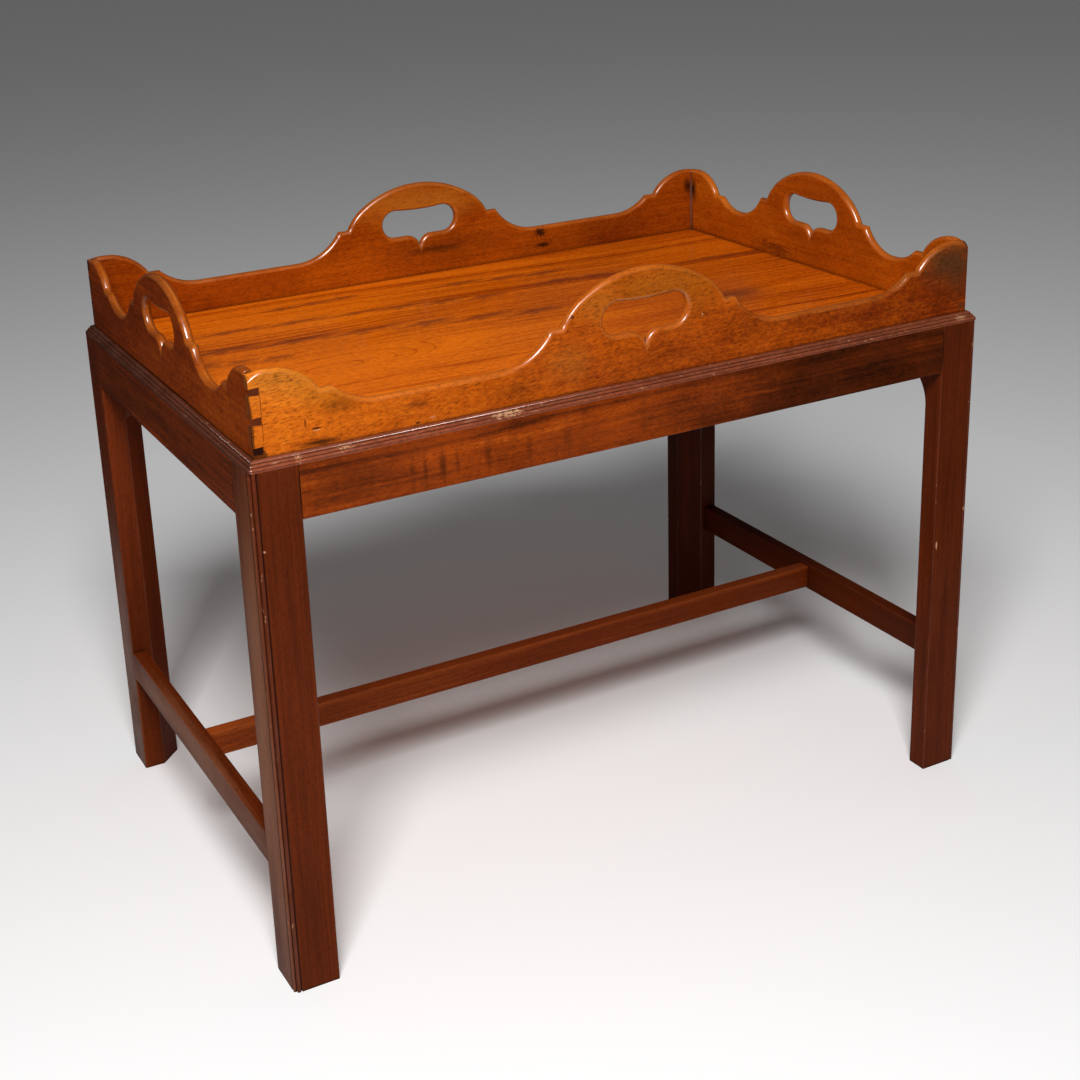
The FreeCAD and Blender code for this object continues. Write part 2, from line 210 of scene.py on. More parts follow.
def rounded(name, pick, radius):
    """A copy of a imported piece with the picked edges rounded, riding on the same body."""
    node = frame["nodes"][name]
    bm = bmesh.new()
    bm.from_mesh(node.data)
    bmesh.ops.remove_doubles(bm, verts=bm.verts, dist=WELD)
    bmesh.ops.dissolve_limit(bm, angle_limit=FLAT_ANGLE, verts=bm.verts, edges=bm.edges)
    rubbed_and_lit = bm.faces.layers.float.new(WORN_AND_LIT_LAYER)
    ends = bm.faces.layers.float.new(END_LAYER)
    flag_faces(bm, name, rubbed_and_lit, ends)
    picked = pick(bm, name)
    if picked:
        made = bmesh.ops.bevel(bm, geom=picked, offset=radius, offset_type="OFFSET", affect="EDGES",
                               segments=ROUND_STEPS, profile=0.5, clamp_overlap=False)
        # Rounded faces count part way as rubbed: worn, and on the boards painted lighter as if lit
        for face in made["faces"]:
            face[rubbed_and_lit] = ROUND_WEAR_AND_LIGHT
            face[ends] = 0
    if name in BOARDS:
        wear_board_corners(bm, name)
    if name in LIPS:
        round_lip_corners(bm, name)
    bmesh.ops.recalc_face_normals(bm, faces=bm.faces)
    mesh = bpy.data.meshes.new(name + "_wood")
    bm.to_mesh(mesh)
    bm.free()
    mesh.polygons.foreach_set("use_smooth", [True] * len(mesh.polygons))
    mesh.set_sharp_from_angle(angle=SHARP_ANGLE)
    piece = bpy.data.objects.new(name + "_wood", mesh)
    bpy.context.scene.collection.objects.link(piece)
    normals = piece.modifiers.new("even_normals", "WEIGHTED_NORMAL")
    normals.keep_sharp = True
    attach(piece, node["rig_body"])
    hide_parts(name)
    return piece


pieces = {}
for name in BOARDS:
    pieces[name] = rounded(name, board_edges, BOARD_ROUND)
for name in RAILS + STRETCHERS + LEGS:
    pieces[name] = rounded(name, bar_edges, BAR_ROUND)
for name in LIPS + ("tray_bottom",):
    pieces[name] = rounded(name, no_edges, 0)


# Material nodes
NOISE_MEAN = 0.5
# Places of a Mix node's colour sockets, because several of its sockets share a name
MIX_COLOURS = (6, 7)
MIXED_COLOUR = 2


class Shader:
    """Adds nodes to a material or a world."""

    def __init__(self, owner):
        self.owner = owner
        owner.use_nodes = True
        self.tree = owner.node_tree
        self.tree.nodes.clear()

    def add(self, kind, inputs=None, **settings):
        """A new node, with its settings, and its inputs linked or set."""
        node = self.tree.nodes.new("ShaderNode" + kind)
        for key, value in settings.items():
            setattr(node, key, value)
        for key, value in (inputs or {}).items():
            if isinstance(value, bpy.types.NodeSocket):
                self.tree.links.new(value, node.inputs[key])
            else:
                node.inputs[key].default_value = value
        return node

    def math(self, operation, *values):
        """A sum, product or other operation on numbers."""
        return self.add("Math", dict(enumerate(values)), operation=operation).outputs[0]

    def vector(self, operation, *values):
        """An operation on vectors that gives a vector."""
        return self.add("VectorMath", dict(enumerate(values)), operation=operation).outputs["Vector"]

    def dot(self, a, b):
        """The dot product of two vectors."""
        return self.add("VectorMath", {0: a, 1: b}, operation="DOT_PRODUCT").outputs["Value"]

    def reach(self, point, centre, size):
        """How far a point is from a centre, as a share of a size on each axis."""
        offset = self.vector("DIVIDE", self.vector("SUBTRACT", point, centre), size)
        return self.add("VectorMath", {0: offset}, operation="LENGTH").outputs["Value"]

    def noise(self, vector, scale, detail=3.0, roughness=0.5):
        """Noise from 0 to 1 about 0.5, with its own scale on each axis."""
        stretched = self.vector("MULTIPLY", vector, scale)
        inputs = {"Vector": stretched, "Scale": 1.0, "Detail": detail, "Roughness": roughness}
        return self.add("TexNoise", inputs).outputs["Fac"]

    def line_noise(self, value, scale, detail=3.0, roughness=0.5):
        """Noise along one number."""
        inputs = {"W": value, "Scale": scale, "Detail": detail, "Roughness": roughness}
        return self.add("TexNoise", inputs, noise_dimensions="1D").outputs["Fac"]

    def ramp(self, value, low, high, to_low=0.0, to_high=1.0):
        """A smooth step between two values."""
        inputs = {"Value": value, "From Min": low, "From Max": high, "To Min": to_low, "To Max": to_high}
        return self.add("MapRange", inputs, interpolation_type="SMOOTHSTEP").outputs["Result"]

    def mix(self, factor, a, b):
        """Two colours mixed."""
        node = self.add("Mix", {"Factor": factor}, data_type="RGBA")
        for socket, value in zip(MIX_COLOURS, (a, b)):
            if isinstance(value, bpy.types.NodeSocket):
                self.tree.links.new(value, node.inputs[socket])
            else:
                node.inputs[socket].default_value = (*value, 1.0)
        return node.outputs[MIXED_COLOUR]

    def tones(self, value, stops):
        """A colour ramp from (position, colour) stops."""
        node = self.add("ValToRGB", {"Fac": value})
        ramp = node.color_ramp
        ramp.elements[0].position, ramp.elements[1].position = stops[0][0], stops[-1][0]
        for position, _ in stops[1:-1]:
            ramp.elements.new(position)
        for element, (_, colour) in zip(ramp.elements, stops):
            element.color = (*colour, 1.0)
        return node.outputs["Color"]


# Mahogany
GRAIN_TURN = {"X": (0, 0, 0), "Y": (0, 0, -math.pi / 2), "Z": (0, math.pi / 2, 0)}
# Near black: dirt, stains and dark joints, and also the painted shade that darkens crevices, grooves and gaps
GRIME_AND_SHADE = (0.010, 0.003, 0.0015)
PALE_WOOD = (0.50, 0.27, 0.14)
STAIN = (0.030, 0.007, 0.002)
END_GRAIN = (0.048, 0.013, 0.006)
OLIVE = (0.40, 0.118, 0.010)
UMBER = (0.25, 0.070, 0.003)
# Darker wood with painted shade, for the right end of the front board
SHADE_AND_DARK_WOOD = (0.075, 0.026, 0.008)
GLUE = (0.11, 0.080, 0.070)
PURPLE = (0.15, 0.028, 0.008)
EMBER = (0.36, 0.055, 0.002)
# A greyer tone painted on some left faces as a sheen, standing for reflection
PALE_SHEEN = (0.27, 0.100, 0.044)

# Kinds of mark: how far the edge blurs, how ragged it is and how fine the raggedness is
SOFT = (0.90, 1.2, 1.3)
CRISP = (0.35, 1.2, 1.3)
BROKEN = (0.25, 4.5, 3.5)
LINE = (0.30, 0.5, 1.3)
STREAK = (0.95, 2.4, 1.8)
# Kinds that lie in the wood, under its flecks and pores
UNDER_FLECKS = (SOFT, STREAK)
MARK_EDGE = 1.05


def marked(s, place, colour, marks):
    """A colour with marks laid over it."""
    for centre, size, tint, strength, (blur, ragged, fineness) in marks:
        offset = s.vector("DIVIDE", s.vector("SUBTRACT", place, centre), size)
        noise = s.noise(offset, (fineness, fineness, fineness), roughness=0.6)
        bite = s.math("SUBTRACT", noise, NOISE_MEAN)
        edge = s.math("ADD", s.reach(place, centre, size), s.math("MULTIPLY", bite, ragged))
        colour = s.mix(s.ramp(edge, 1.0 - blur, MARK_EDGE, strength, 0.0), colour, tint)
    return colour


def grain_scale(along, across):
    """How often a noise repeats in a metre, along the grain and across it."""
    return (along, across, across)


WAVE_SCALE = grain_scale(2.6, 5.0)
RIPPLE_SCALE = grain_scale(9.0, 40.0)
FADING_SCALE = grain_scale(3.5, 24.0)
FIBRE_SCALE = grain_scale(9.0, 330.0)
CLOUD_SCALE = grain_scale(3.5, 9.0)
GRIT_SCALE = grain_scale(210.0, 400.0)
MOTTLE_SCALE = grain_scale(18.0, 30.0)
LINE_PATCH_SCALE = grain_scale(2.2, 14.0)
FLECK_SCALE = grain_scale(150.0, 760.0)
PORE_SCALE = grain_scale(75.0, 1150.0)
RUB_SCALE = grain_scale(30.0, 60.0)
CHIP_SCALE = grain_scale(110.0, 260.0)
SMEAR_SCALE = grain_scale(14.0, 20.0)
SWELL_SCALE = grain_scale(20.0, 45.0)

# Ramps: two levels of a noise and, where they aren't 0 and 1, what these become
FADING_RAMP = (0.36, 0.64, 0.35, 1.25)
LINE_PATCH_RAMP = (0.40, 0.58)
FLECK_RAMP = (0.46, 0.74)
PORE_RAMP = (0.60, 0.72)
RUB_RAMP = (0.30, 0.62, 0.35, 1.0)
CHIP_RAMP = (0.98, 1.04)
SMEAR_RAMP = (0.3, 0.7)

SEED_STEPS = (3.17, 1.31, 2.73)
RING_SEED_STEP = 0.77
WAVE_RISE = 50 * MM
RIPPLE_RISE = 7 * MM
STREAK_GAIN = 1.7
LINE_PITCH = 1.5
LINE_WIDTH = 0.035
FLECK_SLANT = 0.16
PORE_COVER = 0.45
END_COVER = 0.75
SHADE_AND_GRIME_COVER = 0.85
SKY_SAMPLES = 6
GLOSS_SPREAD = 0.07
PORE_ROUGHNESS = 0.12
FIBRE_RELIEF = 0.25
PORE_RELIEF = 0.6
SWELL_RELIEF = 2.2
BUMP_STRENGTH = 0.35
BUMP_HEIGHT = 0.25 * MM
COAT_ROUGHNESS = 0.28
COAT_IOR = 1.9


def mahogany(name, grain, seed, stops, base=0.5, streak=0.3, streak_pitch=30, clouds=0.3, mottle=0.0,
             flecks=0.3, fibre=0.36, grit=0.2, calm=None, lines=0.0, slope=0.0, lean=90.0, fades=(),
             gloss=0.28, shine=0.2, wear=0.3, polish=0.3, specks=0.0, speck_share=0.30, crevice=8 * MM,
             dirt=(0.20, 0.80), ovals=(), marks=()):
    """Polished mahogany with its grain along one axis.

    The ring height runs across the board at the angle lean, so its bands are the streaks. Ovals are places
    where the rings close, marks are spots on one piece, and each of the fades darkens a piece from one point
    to another. Calm weakens the streaks from one place along the grain to another.
    """
    s = Shader(bpy.data.materials.new(name))
    place = s.add("TexCoord").outputs["Object"]
    turned = s.add("Mapping", {"Vector": place, "Rotation": GRAIN_TURN[grain]}).outputs["Vector"]
    shifted = s.vector("ADD", turned, tuple(seed * step for step in SEED_STEPS))
    along, across, depth = s.add("SeparateXYZ", {"Vector": turned}).outputs

    # Ring height, bent by slow waves
    lean = math.radians(lean)
    height = s.math("MULTIPLY", across, math.cos(lean))
    height = s.math("ADD", height, s.math("MULTIPLY", depth, math.sin(lean)))
    height = s.math("ADD", height, s.math("MULTIPLY", along, slope))
    wave = s.math("SUBTRACT", s.noise(shifted, WAVE_SCALE, detail=2.0), NOISE_MEAN)
    ripple = s.math("SUBTRACT", s.noise(shifted, RIPPLE_SCALE), NOISE_MEAN)
    height = s.math("ADD", height, s.math("MULTIPLY", wave, WAVE_RISE))
    height = s.math("ADD", height, s.math("MULTIPLY", ripple, RIPPLE_RISE))
    for centre, size, rise in ovals:
        height = s.math("ADD", height, s.ramp(s.reach(turned, centre, size), 0.0, 1.0, rise, 0.0))
    height = s.math("ADD", height, seed * RING_SEED_STEP)

    # Tone from streaks, fibres, clouds and mottling
    bands = s.math("SUBTRACT", s.line_noise(height, streak_pitch, detail=6.0, roughness=0.68), NOISE_MEAN)
    come_and_go = s.ramp(s.noise(shifted, FADING_SCALE), *FADING_RAMP)
    bands = s.math("MULTIPLY", bands, come_and_go)
    if calm:
        start, end, loss = calm
        bands = s.math("MULTIPLY", bands, s.ramp(along, start, end, 1.0, 1.0 - loss))
    bands = s.math("ADD", bands, NOISE_MEAN)
    fibres = s.noise(shifted, FIBRE_SCALE, roughness=0.6)
    parts = [(bands, streak * STREAK_GAIN), (fibres, fibre), (s.noise(shifted, CLOUD_SCALE), clouds),
             (s.noise(shifted, GRIT_SCALE, roughness=0.7), grit)]
    if mottle:
        parts.append((s.noise(shifted, MOTTLE_SCALE, detail=6.0, roughness=0.70), mottle))
    tone = base
    if lines:
        level = s.line_noise(height, streak_pitch * LINE_PITCH, detail=2.0)
        nearness = s.math("ABSOLUTE", s.math("SUBTRACT", level, NOISE_MEAN))
        here = s.ramp(s.noise(shifted, LINE_PATCH_SCALE, detail=2.0), *LINE_PATCH_RAMP)
        dark = s.math("MULTIPLY", s.ramp(nearness, 0.0, LINE_WIDTH, lines, 0.0), here)
        tone = s.math("SUBTRACT", tone, dark)
    for value, strength in parts:
        swing = s.math("SUBTRACT", value, NOISE_MEAN)
        tone = s.math("ADD", s.math("MULTIPLY", swing, strength), tone)
    for start, end, strength in fades:
        direction = Vector(end) - Vector(start)
        share = s.dot(s.vector("SUBTRACT", place, start), direction / direction.length_squared)
        tone = s.math("SUBTRACT", tone, s.ramp(share, 0.0, 1.0, 0.0, strength))
    colour = s.tones(tone, stops)
    colour = marked(s, place, colour, [mark for mark in marks if mark[-1] in UNDER_FLECKS])

    # Flecks and pores: short dark dashes along the grain, the flecks a little aslant
    darkest = stops[0][1]
    palest = stops[-1][1]
    slant = (0, FLECK_SLANT, FLECK_SLANT)
    slanted = s.add("Mapping", {"Vector": shifted, "Rotation": slant}).outputs["Vector"]
    dashes = s.ramp(s.noise(slanted, FLECK_SCALE, roughness=0.6), *FLECK_RAMP)
    colour = s.mix(s.math("MULTIPLY", dashes, flecks), colour, darkest)
    pores = s.ramp(s.noise(shifted, PORE_SCALE, detail=2.0), *PORE_RAMP)
    colour = s.mix(s.math("MULTIPLY", pores, PORE_COVER), colour, darkest)

    # Rubbed edges made lighter, which on the boards' tops is painted light as well as wear; end grain;
    # painted shade and grime in corners, grooves and gaps; then the marks that lie on top
    rubbed_and_lit = s.add("Attribute", attribute_name=WORN_AND_LIT_LAYER).outputs["Fac"]
    patchy = s.ramp(s.noise(shifted, RUB_SCALE), *RUB_RAMP)
    colour = s.mix(s.math("MULTIPLY", s.math("MULTIPLY", rubbed_and_lit, patchy), wear), colour, palest)
    if specks:
        limits = [limit - speck_share for limit in CHIP_RAMP]
        chips = s.ramp(s.noise(shifted, CHIP_SCALE, detail=2.0), *limits)
        colour = s.mix(s.math("MULTIPLY", s.math("MULTIPLY", rubbed_and_lit, chips), specks), colour, PALE_WOOD)
    cut_ends = s.add("Attribute", attribute_name=END_LAYER).outputs["Fac"]
    colour = s.mix(s.math("MULTIPLY", cut_ends, END_COVER), colour, END_GRAIN)
    # Painted shade and grime: the wood darkens where the occlusion finds crevices, grooves and gaps
    open_sky = s.add("AmbientOcclusion", {"Distance": crevice}, samples=SKY_SAMPLES).outputs["AO"]
    colour = s.mix(s.ramp(open_sky, *dirt, SHADE_AND_GRIME_COVER, 0.0), colour, GRIME_AND_SHADE)
    colour = marked(s, place, colour, [mark for mark in marks if mark[-1] not in UNDER_FLECKS])

    # Polish: uneven gloss, open pores and slight waves in the surface
    smear = s.noise(shifted, SMEAR_SCALE)
    roughness = s.ramp(smear, *SMEAR_RAMP, gloss - GLOSS_SPREAD, gloss + GLOSS_SPREAD)
    roughness = s.math("ADD", roughness, s.math("MULTIPLY", pores, PORE_ROUGHNESS))
    coat = s.math("MULTIPLY", s.math("MINIMUM", s.math("DIVIDE", rubbed_and_lit, ROUND_WEAR_AND_LIGHT), 1.0), polish)
    swell = s.noise(shifted, SWELL_SCALE, detail=2.0)
    relief = s.math("MULTIPLY", fibres, FIBRE_RELIEF)
    relief = s.math("SUBTRACT", relief, s.math("MULTIPLY", pores, PORE_RELIEF))
    relief = s.math("ADD", relief, s.math("MULTIPLY", swell, SWELL_RELIEF))
    bump = s.add("Bump", {"Strength": BUMP_STRENGTH, "Distance": BUMP_HEIGHT, "Height": relief})
    surface = s.add("BsdfPrincipled", {
        "Base Color": colour, "Roughness": roughness, "Normal": bump.outputs["Normal"],
        "Specular IOR Level": shine, "Coat Roughness": COAT_ROUGHNESS, "Coat IOR": COAT_IOR,
        "Coat Weight": s.math("MULTIPLY", coat, patchy)})
    s.add("OutputMaterial", {"Surface": surface.outputs["BSDF"]})
    return s.owner


FLOOR_TONES = ((0.12, (0.090, 0.0120, 0.0020)), (0.36, (0.23, 0.030, 0.0012)), (0.58, (0.45, 0.072, 0.0015)),
               (0.86, (0.74, 0.150, 0.0040)))
BOARD_TONES = ((0.10, (0.030, 0.0050, 0.0006)), (0.34, (0.17, 0.0215, 0.0008)), (0.56, (0.38, 0.066, 0.0016)),
               (0.80, (0.58, 0.130, 0.0045)), (1.00, (0.80, 0.230, 0.0140)))
RAIL_TONES = ((0.12, (0.016, 0.0035, 0.0010)), (0.38, (0.085, 0.013, 0.0015)), (0.60, (0.23, 0.034, 0.0016)),
              (0.88, (0.50, 0.105, 0.0060)))
LIP_TONES = ((0.12, (0.020, 0.0050, 0.0025)), (0.40, (0.095, 0.018, 0.0055)), (0.62, (0.23, 0.050, 0.018)),
             (0.90, (0.42, 0.150, 0.080)))
STAND_TONES = ((0.10, (0.020, 0.0040, 0.0010)), (0.40, (0.075, 0.0115, 0.0018)),
               (0.62, (0.135, 0.021, 0.0030)), (0.90, (0.27, 0.052, 0.0070)))

# Marks of single pieces, in rows of millimetres: two places, two sizes, tint, strength and kind
MARK_DEPTH = 3
X, Y, Z = 0, 1, 2
TRAY_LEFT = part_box("gallery_left")[0].x
TRAY_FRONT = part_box("gallery_front")[0].y
TRAY_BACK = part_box("gallery_back")[1].y
INSIDE_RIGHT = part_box("gallery_right")[0].x
INSIDE_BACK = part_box("gallery_back")[0].y
FLOOR_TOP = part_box("tray_bottom")[1].z
STAND_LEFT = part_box("leg_front_left")[0].x
STAND_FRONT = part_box("leg_front_left")[0].y
LIP_REEDS = STAND_FRONT + 1 * MM


def marks_on(axis, level, rows, depth=MARK_DEPTH):
    """Marks on the face at one level of an axis, with their places and sizes on the other two axes."""
    marks = []
    for first, second, width, height, tint, strength, kind in rows:
        centre = [first * MM, second * MM]
        size = [width * MM, height * MM]
        centre.insert(axis, level)
        size.insert(axis, depth * MM)
        marks.append((tuple(centre), tuple(size), tint, strength, kind))
    return tuple(marks)


front_board_marks = marks_on(Y, TRAY_FRONT, (
    (-334.3, 535, 1.0, 4.5, STAIN, 0.7, CRISP),
    (-325.1, 529, 4.2, 1.2, STAIN, 0.85, CRISP),
    (-324.5, 527.2, 3.6, 0.7, PALE_WOOD, 0.6, CRISP),
    (-322, 516, 26, 4.5, STAIN, 0.9, SOFT),
    (-232.3, 515.2, 2.8, 1.2, STAIN, 0.85, CRISP),
    (-217.9, 517.5, 3.0, 1.2, PALE_WOOD, 0.35, CRISP),
    (-231, 531.5, 16, 5, STAIN, 0.5, SOFT),
    (-186, 537.9, 5.5, 1.2, STAIN, 0.55, SOFT),
    (-301, 545, 20, 10, STAIN, 0.35, SOFT),
    (-77.5, 582.9, 2.2, 2.2, STAIN, 0.75, CRISP),
    (60.7, 562.6, 1.1, 1.1, PALE_WOOD, 0.7, CRISP),
    (-380.6, 535, 1.8, 33, STAIN, 0.75, CRISP),
    (-371.5, 548, 0.5, 33, STAIN, 0.65, CRISP),
    (371.5, 548, 0.5, 33, STAIN, 0.5, CRISP),
    (-375, 515, 7, 6, STAIN, 0.8, CRISP),
    (20, 592, 95, 42, UMBER, 0.60, SOFT),
    (-55, 590, 34, 26, OLIVE, 0.45, SOFT),
    (-345, 577, 72, 32, OLIVE, 0.85, SOFT),
    (-312, 553, 32, 22, UMBER, 0.45, SOFT),
    (-135, 525, 32, 14, STAIN, 0.30, SOFT),
    (-82, 540, 32, 26, OLIVE, 0.35, SOFT),
    (115, 540, 35, 18, STAIN, 0.18, SOFT),
    # A darker patch with painted shade at the right end of the board
    (362, 564, 54, 40, SHADE_AND_DARK_WOOD, 0.95, SOFT),
))
back_board_marks = marks_on(Y, INSIDE_BACK, (
    (156, 538, 7, 5, GRIME_AND_SHADE, 0.9, BROKEN),
    (159, 522.5, 9, 2.8, GRIME_AND_SHADE, 0.9, BROKEN),
    (20, 538, 45, 7, STAIN, 0.65, SOFT),
    (0, 592, 110, 34, OLIVE, 0.75, SOFT),
    (-240, 545, 130, 45, EMBER, 0.40, SOFT),
    (30, 540, 110, 24, STAIN, 0.25, SOFT),
    (220, 530, 120, 34, STAIN, 0.20, SOFT),
    (366, 566, 8, 14, GRIME_AND_SHADE, 0.85, SOFT),
    (371.2, 545, 1.3, 40, GLUE, 0.7, CRISP),
)) + marks_on(Y, TRAY_BACK, (
    (-371.5, 548, 0.5, 33, STAIN, 0.6, CRISP),
    (371.5, 548, 0.5, 33, STAIN, 0.6, CRISP),
))
right_board_marks = marks_on(X, INSIDE_RIGHT, (
    (228, 561, 9, 18, GRIME_AND_SHADE, 0.9, SOFT),
    (60, 520, 30, 6, STAIN, 0.5, BROKEN),
))
left_board_marks = marks_on(X, TRAY_LEFT, (
    # A painted shadow line along the foot of the left board, in the gap above the lip
    (0, 512.5, 260, 3, GRIME_AND_SHADE, 0.85, SOFT),
)) + marks_on(Y, TRAY_FRONT, (
    (-377, 519, 6, 6, GRIME_AND_SHADE, 0.9, CRISP),
))
floor_streaks = (
    ((-330, 80), (-110, 54), 13, 0.80),
    ((-110, 54), (60, 14), 13, 0.75),
    ((-303, 138), (-89, 123), 8, 0.80),
    ((-206, 187), (-100, 192), 9, 0.80),
    ((-104, 124), (38, 99), 11, 0.75),
    ((-8, 174), (140, 150), 11, 0.70),
    ((-350, 40), (-242, 16), 14, 0.60),
    ((95, 119), (219, 101), 11, 0.70),
    ((290, 104), (372, 84), 7, 0.70),
)
STREAK_STEPS = 3
STREAK_OVERLAP = 0.8


def streak_rows(streaks):
    """Rows of overlapping marks along lines given by two ends, half a width and a strength."""
    rows = []
    for (x0, y0), (x1, y1), half, strength in streaks:
        step_x, step_y = (x1 - x0) / STREAK_STEPS, (y1 - y0) / STREAK_STEPS
        for i in range(STREAK_STEPS):
            centre = (x0 + (i + 0.5) * step_x, y0 + (i + 0.5) * step_y)
            rows.append((*centre, step_x * STREAK_OVERLAP, half, PURPLE, strength, STREAK))
    return tuple(rows)


# Painted reflection: purple patches stand for the gallery reflected in the polished floor
floor_reflections = (
    (225, -52, 75, 34, PURPLE, 0.65, SOFT),
    (235, -45, 40, 22, PURPLE, 0.35, SOFT),
)
floor_marks = marks_on(Z, FLOOR_TOP, floor_reflections + streak_rows(floor_streaks))
rail_glow = (
    (-215, 484, 50, 30, EMBER, 0.35, SOFT),
    (-60, 475, 80, 26, EMBER, 0.25, SOFT),
    (-300, 480, 75, 35, STAIN, 0.35, SOFT),
)
rail_bars = tuple((x, 474, width, 24, STAIN, strength, SOFT) for x, width, strength in (
    (-244, 4, 0.35), (-232, 3, 0.45), (-215, 5, 0.65), (-201, 3, 0.35),
    (-171, 5, 0.45), (-130, 4, 0.30), (-90, 6, 0.30)))
front_rail_marks = marks_on(Y, STAND_FRONT, rail_glow + rail_bars)
# The greyer marks on the left faces of the left legs are a painted sheen, standing for reflection
leg_marks = {
    "leg_front_left": marks_on(X, STAND_LEFT, ((-228, 230, 40, 340, PALE_SHEEN, 0.7, SOFT),))
    + marks_on(Y, STAND_FRONT, ((-382, 434, 1.2, 1.2, PALE_WOOD, 0.7, CRISP),)),
    "leg_back_left": marks_on(X, STAND_LEFT, ((228, 120, 40, 220, PALE_SHEEN, 0.4, SOFT),)),
    "leg_front_right": marks_on(Y, STAND_FRONT, (
        (349.7, 265, 1.2, 5.0, PALE_WOOD, 0.9, CRISP),
        (341, 422, 1.0, 1.6, PALE_WOOD, 0.7, CRISP),
        (386, 158, 1.0, 5.0, PALE_WOOD, 0.5, CRISP),
    )),
    "leg_back_right": (),
}
# A painted sheen on the left stretcher's left face, standing for reflection
left_stretcher_marks = marks_on(X, STAND_LEFT, ((0, 130, 300, 30, PALE_SHEEN, 0.6, SOFT),), depth=12)
front_lip_marks = marks_on(Y, LIP_REEDS, (
    (-345, 511, 3, 3, PALE_WOOD, 0.85, BROKEN),
    (-302, 510.5, 7, 2.5, PALE_WOOD, 0.7, BROKEN),
    (-148, 510, 14, 3, PALE_WOOD, 0.85, BROKEN),
    (370, 509.6, 6, 2.5, PALE_WOOD, 0.6, BROKEN),
), depth=4)
JOINT_LINE = 1.5 * MM


def joint_marks(name):
    """Dark lines where the rails meet a leg's two outer faces."""
    low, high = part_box(name)
    outer = [low[i] if low[i] < 0 else high[i] for i in (0, 1)]
    inner = [high[i] if low[i] < 0 else low[i] for i in (0, 1)]
    rail_low, rail_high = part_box("rail_front")
    middle = (rail_low.z + rail_high.z) / 2
    half = (rail_high.z - rail_low.z) / 2
    return (((inner[0], outer[1], middle), (JOINT_LINE, MARK_DEPTH * MM, half), GRIME_AND_SHADE, 0.85, LINE),
            ((outer[0], inner[1], middle), (MARK_DEPTH * MM, JOINT_LINE, half), GRIME_AND_SHADE, 0.85, LINE))


# Looks of each group of pieces, and of single pieces in it; each fade gives two points and a loss of tone
def dress(names, first_seed, stops, group_look, own_looks):
    """Gives each piece mahogany with its group's look and its own changes to that."""
    for seed, name in enumerate(names, first_seed):
        grain = "Z" if name in LEGS else "X" if name in ALONG_X else "Y"
        look = {**group_look, **own_looks.get(name, {})}
        pieces[name].data.materials.append(mahogany(name + "_mahogany", grain, seed, stops, **look))


# The board darkens towards the right, partly as its own tone and partly as painted shade where the light
# falls off; the last fade makes its top paler
front_board_fades = (((-0.34, 0, 0), (-0.02, 0, 0), 0.30), ((0.1, 0, 0), (0.381, 0, 0), 0.08),
                     ((0, 0, 0.54), (0, 0, 0.60), -0.16))
board_look = dict(streak=0.07, mottle=0.28, flecks=0.40, clouds=0.42, fibre=0.24, grit=0.28,
                  wear=0.36, polish=1.0, shine=0.1, gloss=0.26)
dress(BOARDS, 1, BOARD_TONES, board_look, {
    "gallery_front": dict(base=0.72, mottle=0.40, flecks=0.60, grit=0.42, wear=0.34,
                          fades=front_board_fades, marks=front_board_marks),
    "gallery_back": dict(base=0.445, marks=back_board_marks),
    "gallery_left": dict(base=0.355, marks=left_board_marks),
    "gallery_right": dict(base=0.55, marks=right_board_marks),
})

floor_fade = ((-0.28, -0.10, 0), (0.28, 0.05, 0), 0.17)
floor_oval = ((-0.23, -0.045, FLOOR_TOP), (0.20, 0.055, 1.0), 0.080)
floor_look = dict(base=0.82, streak=0.46, streak_pitch=26, calm=(-0.05, 0.30, 0.45), lines=0.24,
                  clouds=0.36, fibre=0.55, grit=0.50, slope=0.06, lean=0.0, flecks=0.50, gloss=0.20,
                  shine=0.12, fades=(floor_fade,), ovals=(floor_oval,), marks=floor_marks)
dress(("tray_bottom",), 7, FLOOR_TONES, floor_look, {})

rail_look = dict(base=0.40, streak=0.32, streak_pitch=55, clouds=0.30, mottle=0.2, flecks=0.4, grit=0.3,
                 wear=0.05, shine=0.08)
# Darker towards the right, partly the rail's stain and partly painted shade where the light falls off
rail_fade = ((-0.06, 0, 0), (0.26, 0, 0), 0.23)
dress(RAILS, 11, RAIL_TONES, rail_look, {
    "rail_front": dict(base=0.52, mottle=0.5, fades=(rail_fade,), marks=front_rail_marks),
})

leg_look = dict(base=0.44, streak=0.16, streak_pitch=45, clouds=0.4, lean=35.0, wear=0.05, specks=0.5,
                shine=0.06, crevice=4 * MM, dirt=(0.35, 0.95), gloss=0.32)
leg_looks = {name: dict(marks=leg_marks[name] + joint_marks(name)) for name in LEGS}
# Painted shade: the back right leg is made darker, and darker still towards its top under the rail
leg_looks["leg_back_right"].update(base=0.32, fades=(((0, 0, 0.18), (0, 0, 0.40), 0.22),))
dress(LEGS, 21, STAND_TONES, leg_look, leg_looks)

stretcher_look = dict(streak=0.25, streak_pitch=50, wear=0.4, specks=0.3, shine=0.05, gloss=0.30)
# Painted light: the middle stretcher's top face made paler as if lit, where the tray shades it
painted_lit_top = ((0, 0, 0.136), (0, 0, 0.1425), -0.20)
middle_fade = ((-0.30, 0, 0), (0.05, 0, 0), 0.10)
dress(STRETCHERS, 31, STAND_TONES, stretcher_look, {
    "stretcher_left": dict(base=0.46, marks=left_stretcher_marks),
    "stretcher_right": dict(base=0.30),
    "stretcher_middle": dict(base=0.69, fades=(painted_lit_top, middle_fade)),
})

